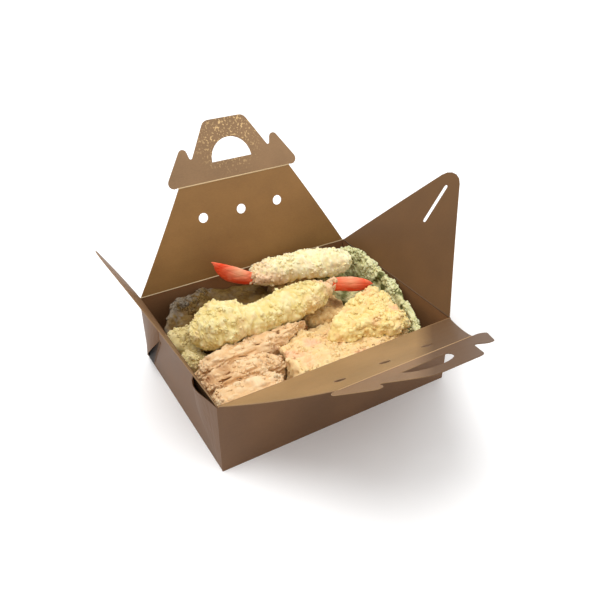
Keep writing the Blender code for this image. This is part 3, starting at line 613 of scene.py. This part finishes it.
def creases():
    """The bent board along each crease, as a thin closed bead on the panel it hinges from."""
    y, x = TRAY_WIDTH / 2 - BOARD / 2, TRAY_LENGTH / 2 - BOARD / 2
    long, short = TRAY_LENGTH / 2 - CREASE_INSET, TRAY_WIDTH / 2 - CREASE_INSET
    back = np.array([0, y, RIM]) + leaning((0, 1, 0), BACK_ANGLE) * FLAP_DEPTH
    front = np.array([0, -y, RIM]) + leaning((0, -1, 0), FRONT_ANGLE) * FLAP_DEPTH
    ridge = np.array([RIDGE_HALF, 0, 0])
    rows = [("crease_back", (-long, y, RIM), (long, y, RIM), "tray", "E2C9A0"),
            ("crease_front", (-long, -y, RIM), (long, -y, RIM), "tray", "A07A50"),
            ("crease_left", (-x, -short, RIM), (-x, short, RIM), "tray", "68492E"),
            ("crease_right", (x, -short, RIM), (x, short, RIM), "tray", "5E442A"),
            ("crease_back_handle", back - ridge, back + ridge, "back_flap", "D8BC90"),
            ("crease_front_handle", front - ridge, front + ridge, "front_flap", "B89468")]
    for name, start, end, body, colour in rows:
        # Bent fibres stand up along a crease. Each bead's colour is painted light and
        # shade: pale cream at the back as a painted highlight, dark brown at the sides as
        # painted shade.
        made, _, shader, _ = new_material("crease_painted_light_" + name)
        shader.inputs["Base Color"].default_value = srgb(colour)
        shader.inputs["Roughness"].default_value = 0.7
        grid_piece(name, bar(start, end, CREASE_RADIUS), body, made)


def painted_web_shadows():
    """Painted shadow below each rear web: a thin closed dark sheet on the short wall.

    A point is (1 - v) of the sheet's edge at the corner and v of its far edge, at
    the share u of the way down, and its tone is v cubed: darkest at the corner.
    """
    down = np.concatenate([[0], np.linspace(0, 1, 12), [1]])[:, None]
    corner = np.array([71.2, 44.0]) * (1 - down) + np.array([71.2, 0.4]) * down
    far = np.array([31.0, 40.5]) * (1 - down) + np.array([58.5, 0.4]) * down
    share = np.concatenate([np.linspace(0, 1, 10), np.linspace(1, 0, 10)])
    lift = np.where(np.arange(20) < 10, 0.12, 0.04)       # its two faces above the wall
    flat = corner[:, None] * (1 - share)[None, :, None] + far[:, None] * share[None, :, None]
    made, tree, shader, _ = new_material("kraft_in_deep_shadow")
    tone = node(tree, "ShaderNodeAttribute", attribute_name="crag").outputs["Fac"]
    # Painted shadow: near black at the corner, fading to the wall's brown at the far edge.
    colour = node(tree, "ShaderNodeValToRGB", {"Fac": tone},
                  stops=[(0.2, srgb("1C1612")), (0.6, srgb("3A2A1E")), (1.0, srgb("68492E"))])
    tree.links.new(colour.outputs["Color"], shader.inputs["Base Color"])
    shader.inputs["Roughness"].default_value = 0.8
    for name, side in (("painted_web_shadow_left", -1), ("painted_web_shadow_right", 1)):
        x = np.broadcast_to(side * (TRAY_LENGTH / 2 + lift), flat.shape[:2])
        grid = close_ends(np.concatenate([x[..., None], flat], axis=-1))
        grid_piece(name, grid, "tray", made,
                   {"crag": np.broadcast_to(share ** 3, flat.shape[:2])})


# --------------------------------------------------------------------- the food
def dressed(grid, planes, seed, height=1.0, frill=0.5, slits=0.6, stretch=(1, 1, 1)):
    """Cut a form at its planes, add the fine batter and keep it inside the tray."""
    grid = cut(grid, tray_planes() + planes)
    relief, tone = batter_relief(grid / np.array(stretch, float), seed, height, frill, slits)
    grid = cut(swell(grid, relief), tray_planes(0.1))
    return grid, tone


def crumbs(name, grid, tone, stain, count, size, seed, finish, lowest, planes=()):
    """Crumbs stuck on a form above the height lowest, as one mesh of small uneven balls.

    A ball's point is place + radius noise (cos v sin u, sin v sin u, cos u), with
    three widths along two directions on the surface and its normal. Places are
    drawn by area, where a slow noise gathers them.
    """
    draw = np.random.default_rng(seed)
    normal = surface_normals(grid)
    area = np.linalg.norm(np.cross(np.gradient(grid, axis=0), np.gradient(grid, axis=1)), axis=-1)
    chance = area * (grid[..., 2] > lowest) * (normal[..., 2] > -0.3)
    chance = (chance * np.clip(lumps(grid, 9.0, seed) + 0.3, 0, 1)).ravel()
    picked = draw.choice(len(chance), count, p=chance / chance.sum())
    place, out = grid.reshape(-1, 3)[picked], normal.reshape(-1, 3)[picked]
    radius = size * (0.5 + 0.6 * draw.random(count) ** 2)
    turns = np.linspace(0, 2 * np.pi, 7, endpoint=False)
    u, v = np.meshgrid([0.7, 1.45, 2.2], turns, indexing="ij")
    ring = np.stack([np.cos(v) * np.sin(u), np.sin(v) * np.sin(u), np.cos(u)], axis=-1)
    ball = np.vstack([[0, 0, 1.0], ring.reshape(-1, 3), [0, 0, -1.0]])
    aside = np.cross(out, draw.normal(size=(count, 3)))
    aside /= np.linalg.norm(aside, axis=1)[:, None]
    turn = np.stack([aside, np.cross(out, aside), out], axis=1)
    shape = ball * draw.uniform(0.6, 1.35, (count, len(ball), 1)) * radius[:, None, None]
    shape = shape * np.array([1.1, 0.8, 0.75])
    points = place[:, None] + np.einsum("kni,kij->knj", shape, turn)
    points = cut(points, tray_planes(0.1) + list(planes))
    one = np.array([face if len(face) == 4 else face + face[-1:] for face in grid_faces(5, 7)])
    outward = np.sum(np.cross(ball[one[:, 0]], ball[one[:, 1]]) * ball[one[:, 2]])
    one = one if outward > 0 else one[:, ::-1]
    faces = (np.arange(count)[:, None, None] * len(ball) + one).reshape(-1, 4).tolist()
    faces = [list(dict.fromkeys(face)) for face in faces]
    marks = {"crag": np.repeat(tone.ravel()[picked], len(ball)),
             "stain": np.repeat(stain.ravel()[picked], len(ball))}
    mesh_piece(name, points.reshape(-1, 3), faces, "tray", finish, marks)


def prawns(front_finish, rear_finish):
    """The two battered prawns: craggy rolls cut where they lie and at their tails."""
    # Name, path, planes, seed, stains, finish, relief (height, frill, slits), crumbs.
    rows = [("prawn_front", [(-82, 2, 58.5, 10, 11), (-68, 1.5, 59.5, 15, 14.5),
                             (-52, 2, 60, 15.5, 15), (-33, -2, 58.5, 12.5, 12.5),
                             (-6, 0.5, 59, 13.5, 13.5), (20, 4, 59.5, 12, 12),
                             (46, 9, 60, 8.5, 8.5)],
             [(0, 0, -1, -PRAWN_REST), (0.93, -0.37, 0, 34.7), LUMP_SIDE + (LUMP_EDGE,),
              other_side(STICK_SIDE, STICK_EDGE), other_side(SLICE_SIDE, SLICE_EDGE)], 41,
             [(34, 8, 64, 9, 0.7), (14, -6, 62, 7, 0.4)], front_finish, (0.9, 0.6, 0.2), 320),
            ("prawn_rear", [(-14, 51, 59.5, 7, 7), (6, 54, 58.5, 10.5, 10.5),
                            (30, 51, 58.5, 11, 11), (50, 46, 58.5, 12, 12),
                            (68, 40.5, 58, 12, 11.5), (81, 36, 57.5, 9.5, 9.5)],
             [(0, 0, -1, -REAR_REST), (-0.95, 0, 0.31, 24.4)], 42,
             [(-2, 44, 58, 10, 0.9), (12, 40, 54, 10, 0.7), (2, 52, 66, 8, 0.5)], rear_finish,
             (0.75, 0.35, 0.08), 200)]
    for name, knots, planes, seed, places, finish, fineness, count in rows:
        grid = roll(knots, 300, 150, square=0.95)
        relief = crags(grid, seed)
        if name == "prawn_front":
            away = np.linalg.norm(grid - np.array(KNOB_PLACE), axis=-1)
            relief += KNOB_HEIGHT * np.exp(-(away / KNOB_REACH) ** 2)
        grid, tone = dressed(swell(grid, relief), planes, seed, *fineness, (0.85, 1.3, 1.3))
        stain = stains(grid, places, seed)
        food_piece(name, grid, finish, tone, stain)
        crumbs("crumbs_" + name, grid, tone, stain, count, 1.7, seed, finish,
               50.0)


def flat_crown(height):
    """Crown of one height everywhere."""
    return lambda x, y: np.full_like(x, height)


def slices(olive, brown, green, end):
    """The lower layer: slices and a lump that stand on the tray's floor."""
    under_front = (0, 0, 1, PRAWN_REST - GAP)
    smooth, crumbly = (0.5, 0.1, 0.1), (0.9, 0.8, 0.5)       # height, frill and slits

    def inside_rim(x, y):
        """Distance in mm inwards from the broad slice's rim."""
        return 86.0 + 0.607 * x - 0.794 * y

    def slice_crown(x, y):
        return 44.0 + 12.5 * np.clip(1 - inside_rim(x, y) / 17, 0, 1)

    def lump_crown(x, y):
        return 55.0 - 0.012 * ((x + 82) ** 2 + (y - 17) ** 2)
    # Name, outline, crown, planes, seed, finish, slot, outline's points, crags, relief, crumbs.
    rows = [
        ("broad_slice", [(-94, 30), (-87, 41), (-72, 58), (-58, 65), (-42, 71), (-18, 72),
                         (8, 71), (8, 50), (8, 29), (-35, 29), (-66, 29), (-80, 29)],
         slice_crown, [(0, -1, 0, -29.2), (1, 0, 0, 8.0)], 11, olive, "vegetable_slice", 30, 2.0,
         smooth, 420),
        ("hidden_slice", [(-66, 28), (-30, 28), (7, 28), (7, 8), (7, -10), (-30, -10),
                          (-66, -10), (-66, 9)],
         lambda x, y: np.where(y > 14, 39.0, 45.0),
         [(0, 1, 0, 28.8), (1, 0, 0, 8.0), (0, -1, 0, 11.6), (-1, 0, 0, 67.0), under_front],
         12, olive, "vegetable_slice", 20, 0.8, smooth, 0),
        ("aubergine_slice", [(9, 66), (30, 66), (49, 66), (50, 30), (50, -10), (30, -11),
                             (9, -10), (9, 30)],
         flat_crown(45.0), [(-1, 0, 0, -8.4), (1, 0, 0, 50.4), (0, -1, 0, 11.6), under_front],
         13, brown, "aubergine_slice", 24, 0.9, crumbly, 60),
        ("green_slice", [(52, 66), (66, 66), (74, 60), (76, 30), (74, 0), (72, -11),
                         (62, -11), (52, -10), (52, 30)],
         flat_crown(46.0), [(-1, 0, 0, -50.8), (0, -1, 0, 11.6), under_front,
                       LEAF_SIDE + (LEAF_EDGE,)], 14, green, "leaf_batter", 24, 1.2, crumbly, 160),
        ("pale_lump", [(-92, 27), (-80, 27.5), (-69, 27), (-68.5, 16), (-69, 6), (-80, 5.5),
                       (-92, 6), (-94, 16)],
         lump_crown, [(0, 1, 0, 28.8), (0, -1, 0, -5.0), (1, 0, 0, -67.4),
                      other_side(LUMP_SIDE, LUMP_EDGE)], 15, end, "pale_batter", 22, 0.7, smooth,
         60),
        ("slice_end", [(-92, 3.5), (-80, 4), (-69, 3.5), (-68.5, -4), (-69, -11), (-80, -11.5),
                       (-92, -11)],
         flat_crown(50.5), [(0, 1, 0, 4.6), (0, -1, 0, 11.6), (1, 0, 0, -67.4),
                       SLICE_SIDE + (SLICE_EDGE,)], 16, end, "vegetable_slice", 18, 0.5, smooth,
         60)]
    for name, outline, crown, planes, seed, finish, slot, coarse, rough, fineness, count in rows:
        grid = mound(outline, FLOOR_TOP, crown, 70, 240, coarse=coarse)
        grid = swell(grid, crags(grid, seed, rough) * (grid[..., 2] > BURIED))
        grid, tone = dressed(grid, planes, seed, *fineness)
        rim = 0 * tone
        if name == "broad_slice":
            inwards = inside_rim(grid[..., 0], grid[..., 1])
            rim = np.clip(1.2 - inwards / 7 + 1.1 * lumps(grid, 3.0, 17), 0, 1)
        if name == "green_slice":
            rim = np.clip(0.6 + lumps(grid, 5.0, 18), 0, 1)
        if name == "aubergine_slice":
            rim = stains(grid, [(44, 3, 46, 6, 1.0), (40, 14, 46, 8, 1.0)], 19)
        food_piece(name, grid, finish, tone, rim)
        if count:
            lowest = 49.0 if name == "broad_slice" else 42.0
            crumbs("crumbs_" + name, grid, tone, rim, count, 1.5, seed, finish, lowest)


def sticks(finish):
    """Three flaky sticks side by side, with slots and lumps stretched along them."""
    rows = [("stick_1", [(-92, -20.5, 28, 9, 27), (-50, -20, 28, 10, 28),
                         (-10, -19, 28, 10, 28), (8, -16, 27, 9, 27)],
             [(0, 1, 0, -12.0), (0, -1, 0, 29.4), STICK_SIDE + (STICK_EDGE,),
              other_side(STEP_SIDE, STEP_EDGE)], 21),
            ("stick_2", [(-93.5, -38, 27, 8, 26), (-65, -38.5, 27, 9, 27.5),
                         (-26, -39, 26.5, 8.5, 26)],
             [(0, 1, 0, -29.8), (0, -1, 0, 47.4), FLAKY_SIDE + (FLAKY_EDGE,)], 22),
            ("stick_3", [(-94, -59, 27, 11.5, 26), (-68, -59.5, 27, 12, 27),
                         (-36, -58, 26, 10.5, 25)],
             [(0, 1, 0, -47.8), FLAKY_SIDE + (FLAKY_EDGE,)], 23)]
    places = [(-88, -38, 53, 6, 0.9), (-90, -24, 54, 5, 0.7), (-74, -36, 54, 5, 0.7),
              (-28, -34, 52, 6, 0.9), (-36, -60, 50, 6, 0.9)]
    for name, knots, planes, seed in rows:
        grid = roll(knots, 260, 170, square=0.55, blunt=0.3)
        grid = swell(grid, crags(grid, seed, 1.0, (2.0, 0.8, 1)))
        grid, tone = dressed(grid, planes, seed, 1.15, 0.6, 1.15, (1.7, 0.75, 0.75))
        stain = stains(grid, places, seed)
        food_piece(name, grid, finish, tone, stain)
        crumbs("crumbs_" + name, grid, tone, stain, 200, 1.5, seed, finish, 45.0)


def fritters(lower_finish, upper_finish):
    """The lower fritter, with a sloping bed for the upper one, and the upper one on it."""
    outline = [(-36, -72), (-10, -72), (20, -72), (50, -72), (66, -71), (72, -50), (76, -25),
               (78, -13), (60, -12), (40, -12), (20, -12), (3, -12.5), (-12, -21), (-28, -30),
               (-32, -50)]

    def lower_crown(x, y):
        return 54.5 - 0.12 * np.clip(x, 0, None)
    grid = mound(outline, FLOOR_TOP, lower_crown, 110, 400, coarse=42)
    grid = swell(grid, crags(grid, 31, 1.9) * (grid[..., 2] > BURIED))
    planes = [LEAF_SIDE + (LEAF_EDGE,), (0, 1, 0, -12.0), STICK_SIDE + (STICK_EDGE,),
              other_side(FLAKY_SIDE, FLAKY_EDGE), STEP_SIDE + (STEP_EDGE,)]
    grid = cut(grid, tray_planes() + planes)
    # The bed under the upper fritter rises at the left and in front, outside that fritter.
    lift = 5 * np.clip((7 - grid[..., 0]) / 12, 0, 1) + 5 * np.clip((-62 - grid[..., 1]) / 6, 0, 1)
    length = np.linalg.norm(UNDER_FRITTER)
    over = np.maximum(0, (grid @ np.array(UNDER_FRITTER) - BED) / length - lift)
    grid = grid - over[..., None] * np.array(UNDER_FRITTER) / length
    grid, tone = dressed(grid, [], 31, 1.0, 0.5)
    stain = stains(grid, [(-4, -37, 53, 7, 0.9), (-24, -44, 54, 8, 0.7), (10, -30, 50, 5, 0.5),
                          (20, -64, 50, 5, 0.6), (-20, -60, 53, 6, 0.5)], 33)
    food_piece("fritter_lower", grid, lower_finish, tone, stain)
    crumbs("crumbs_fritter_lower", grid, tone, stain, 260, 2.0, 34, lower_finish,
           44.0)

    outline = [(9, -37), (17, -29), (28, -22), (44, -17), (56, -11.5), (66, -10), (71, -14),
               (73, -26), (73, -40), (70, -56), (60, -61), (36, -54), (16, -45)]

    def upper_crown(x, y):
        return 62.5 + 0.10 * (y + 30) - 0.0035 * (x - 48) ** 2
    grid = mound(outline, 42.0, upper_crown, 110, 320, 7.0, coarse=36)
    grid = swell(grid, crags(grid, 32, 1.9))
    planes = [other_side(UNDER_FRITTER, BED), LEAF_SIDE + (LEAF_EDGE,), (0, 1, 0, -9.0)]
    grid, tone = dressed(grid, planes, 32, 1.0, 0.5)
    stain = stains(grid, [(64, -42, 58, 5, 1.0), (30, -26, 57, 5, 0.6), (58, -16, 60, 7, 0.5),
                          (44, -48, 58, 4, 0.5), (72, -52, 50, 5, 0.8)], 35)
    food_piece("fritter_upper", grid, upper_finish, tone, stain)
    crumbs("crumbs_fritter_upper", grid, tone, stain, 220, 2.0, 36, upper_finish,
           46.0)


def tails(finish, batter):
    """Prawn tails: flat blades of three overlapping plates.

    Each plate ends a little shorter than the one above it, and a seam is sunk
    between them. The base runs 2 mm into the batter, whose last flakes lie on it.
    """
    # Each row ends with the strength of the tail's painted highlight, full on the rear tail.
    rows = [("tail_front", [(34, 8.8, 61.5, 3.8, 5.2), (48, 5.4, 60.9, 3.4, 6.2),
                            (61, 0.6, 58.8, 2.9, 6.4), (72.5, -4.8, 58.2, 1.6, 3.4)],
             [(-0.93, 0.37, 0, -(34.7 - TAIL_ROOT)), (0, -1, 0, 8.6)], 0.8),
            ("tail_rear", [(-2, 51.5, 55.5, 3.6, 4.9), (-14, 52, 61.8, 3.4, 6.1),
                           (-25.5, 55, 67.6, 2.9, 7.0), (-38.5, 60, 78.6, 1.5, 3.0)],
             [(0.95, 0, -0.31, -(24.4 - TAIL_ROOT))], 1.0)]
    rings, sides = 110, 120
    upper, lower = 0.35, -0.4         # the seams' heights on the rounded section
    root = slice(8, 30)               # the rings next to the batter
    for name, knots, planes, gloss in rows:
        grid = roll(knots, rings, sides, square=1.0, blunt=0.45)
        turn = np.linspace(0, 2 * np.pi, sides, endpoint=False)
        high = np.sin(turn)[None] * np.ones((rings, 1))
        seams = sum(np.exp(-((high - seam) / 0.05) ** 2) for seam in (upper, lower))
        at = np.linspace(0, 1, rings)[:, None]
        back = np.array(knots[-2][:3], float) - np.array(knots[-1][:3], float)
        back /= np.linalg.norm(back)
        end = np.clip((at - 0.75) / 0.25, 0, 1) ** 1.5
        short = 1.8 * (high < upper) + 2.2 * (high < lower)
        grid = grid + back * (end * short)[..., None]
        ribs = 0.25 * lumps(grid * np.array([0.25, 0.4, 1.0]), 1.2, 62) - 0.25 * seams
        grid = cut(swell(grid, ribs * np.clip(at * (1 - at) * 12, 0, 1)), planes)
        # Painted highlight: the pale second colour along the middle of each tail's upper side.
        painted_highlight = np.clip(1 - np.abs(at - 0.5) / 0.28, 0, 1) * np.clip(high + 0.5, 0, 1)
        tone = np.clip(0.55 + 0.5 * ribs + 0.2 * lumps(grid, 5.0, 61), 0, 1)
        food_piece(name, grid, finish, tone, gloss * painted_highlight)
        tone = tone[root]
        crumbs("crumbs_" + name, grid[root], tone, 0.8 + 0 * tone, 55, 1.9, 71,
               batter, 0.0)


def leaf(finish):
    """Battered leaf standing on edge along the right wall.

    A point is middle(u, v) + (wave + s half) across, where s is sin v to the power
    0.3, half is half the thickness, and both waver with the noise. Where the
    stain is strong, the leaf shows dark between its crumbs.
    """
    top = np.array([(80, 55, 57.5), (87, 52, 60.5), (90.5, 39, 61.5), (90.5, 23, 60.5),
                    (90, 6, 58.5), (88.5, -10, 56.5), (85, -29, 53.5), (81.5, -42, 51.5),
                    (77, -55, 50), (72.5, -66, 48.5)], float)
    columns, sides = 330, 150
    at = np.linspace(0, 1, columns)
    edge = curve_through(top, at)
    turn = np.linspace(0, 2 * np.pi, sides, endpoint=False)
    down = (1 - np.cos(turn)) / 2
    side = np.sign(np.sin(turn)) * np.abs(np.sin(turn)) ** 0.3
    foot = np.stack([edge[:, 0] - 2.0, edge[:, 1], np.full(columns, FLOOR_TOP)], axis=-1)
    middle = edge[:, None] * (1 - down[None, :, None]) + foot[:, None] * down[None, :, None]
    forward = np.gradient(edge, axis=0)
    across = np.stack([forward[:, 1], -forward[:, 0], 0 * at], axis=-1)
    across /= np.linalg.norm(across, axis=1)[:, None]
    near_top = np.clip((middle[..., 2] - 40.0) / 12.0, 0, 1)
    half = 2.2 + 1.2 * near_top + 0.8 * lumps(middle, CRAG_SIZE, 51)
    closing = np.clip(1 - np.abs(2 * at - 1) ** 40, 0, 1) ** 0.5
    wave = 0.9 * lumps(middle, 16.0, 52)
    grid = middle + across[:, None] * (wave + side * half * closing[:, None])[..., None]
    grid, tone = dressed(close_ends(grid), [], 53, 0.9, 0.8)
    grid = cut(grid, [SHUT_FLAP])
    bare = np.clip(3.0 * lumps(grid, 5.5, 54) + 1.2 * lumps(grid, 2.4, 55) - 0.8, 0, 1)
    food_piece("leaf", grid, finish, tone, bare)
    crumbs("crumbs_leaf", grid, tone + 0.1, 0 * bare, 1100, 1.6, 56, finish, 38.0,
           [SHUT_FLAP])


def dress_food():
    """Every piece of food over its solid, in its own shade of fried batter."""
    # Finish: colours of its pits, its middle tone, its knobs and its second colour, and
    # how moist it looks. Cooked shell is smooth and moist, aubergine skin a little oily.
    finishes = {
        "fried_prawn_batter": ("C2A258", "E2CC84", "F0E2AA", "EABC98", 0.0),
        # A paler copy of the prawn batter: painted light for the rear prawn, which lies in the
        # back flap's shade.
        "prawn_batter_with_painted_light": ("D6BE7C", "F2E4AE", "FAF1CA", "F0C8A4", 0.0),
        "fried_fritter_batter": ("926834", "E2C086", "EED49E", "EEBA96", 0.0),
        "fried_top_fritter_batter": ("967038", "E8CC84", "F4E0A0", "EEB68E", 0.0),
        "flaky_fried_crust": ("80552F", "E4BC8A", "F0D4AA", "B48256", 0.0),
        "leaf_tempura_crumb": ("68683A", "D4D098", "E8E6B6", "68683A", 0.0),
        "olive_slice_skin": ("2A200F", "64491E", "786033", "7C7060", 0.2),
        "fried_aubergine_flesh": ("7A582E", "D2AC70", "E4C68E", "8E6A40", 0.1),
        "battered_slice_end": ("94803E", "D2BE80", "E6D6A2", "A88C54", 0.1),
        # The shell's second colour is the tails' painted highlight.
        "cooked_prawn_shell": ("D2301A", "F04C28", "F6683C", "FFB48C", 0.35)}
    made = {name: fried_batter(name, *colours) for name, colours in finishes.items()}
    prawns(made["fried_prawn_batter"], made["prawn_batter_with_painted_light"])
    fritters(made["fried_fritter_batter"], made["fried_top_fritter_batter"])
    sticks(made["flaky_fried_crust"])
    slices(made["olive_slice_skin"], made["fried_aubergine_flesh"], made["leaf_tempura_crumb"],
           made["battered_slice_end"])
    leaf(made["leaf_tempura_crumb"])
    tails(made["cooked_prawn_shell"], made["fried_prawn_batter"])


# -------------------------------------------------------------------- the stage
def add_stage():
    """A pale floor, a wide soft sun high up at the left and an even sky."""
    corners = [(-1, -1), (1, -1), (1, 1), (-1, 1)]
    mesh = bpy.data.meshes.new("floor")
    mesh.from_pydata([(FLOOR_HALF * x, FLOOR_HALF * y, 0) for x, y in corners], [],
                     [(0, 1, 2, 3)])
    made, _, shader, _ = new_material("white_paper_floor")
    shader.inputs["Base Color"].default_value = srgb("FFFFFF")
    shader.inputs["Roughness"].default_value = 0.9
    mesh.materials.append(made)
    floor = bpy.data.objects.new("floor", mesh)
    bpy.context.collection.objects.link(floor)
    data = bpy.data.lights.new("key", "SUN")
    data.energy = SUN_POWER
    data.angle = math.radians(SUN_WIDTH)
    lamp = bpy.data.objects.new("key", data)
    bpy.context.collection.objects.link(lamp)
    lamp.rotation_euler = Vector(SUN_FROM).to_track_quat("Z", "Y").to_euler()
    world = bpy.data.worlds.new("studio")
    bpy.context.scene.world = world
    world.use_nodes = True
    background = world.node_tree.nodes["Background"]
    background.inputs["Color"].default_value = (1.0, 1.0, 1.0, 1.0)
    background.inputs["Strength"].default_value = SKY_POWER
    bpy.context.scene.view_settings.view_transform = "Standard"


add_camera()
dress_board()
creases()
painted_web_shadows()
dress_food()
add_stage()
